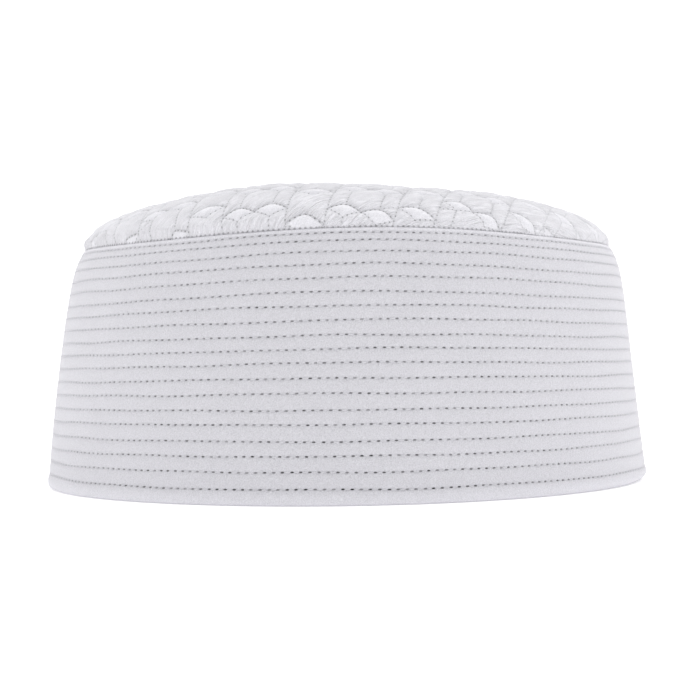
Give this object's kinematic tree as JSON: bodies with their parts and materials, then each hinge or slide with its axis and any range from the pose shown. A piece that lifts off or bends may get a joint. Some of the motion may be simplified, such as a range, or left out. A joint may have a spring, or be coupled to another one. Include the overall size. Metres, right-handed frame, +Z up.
{
  "type": "kufi",
  "caption": "Round brimless cloth cap with a padded side wall sewn in close rows and a quilted, gently domed top, open below for the head.",
  "frame": {"origin": "middle of the rim on the surface that the cap rests on, at the bottom centre of its bounding box", "axes": "+Z up through the crown, -Y to the front of the cap, +X to its left side as worn"},
  "size_m": [0.1918, 0.1961, 0.0925],
  "materials": {
    "band_cloth": "matte white cotton, sewn in close rows",
    "crown_cloth": "soft white cotton with a faint satin sheen, quilted"
  },
  "bodies": {
    "root": {"band": "band_cloth", "crown": "crown_cloth"}
  },
  "joints": []
}
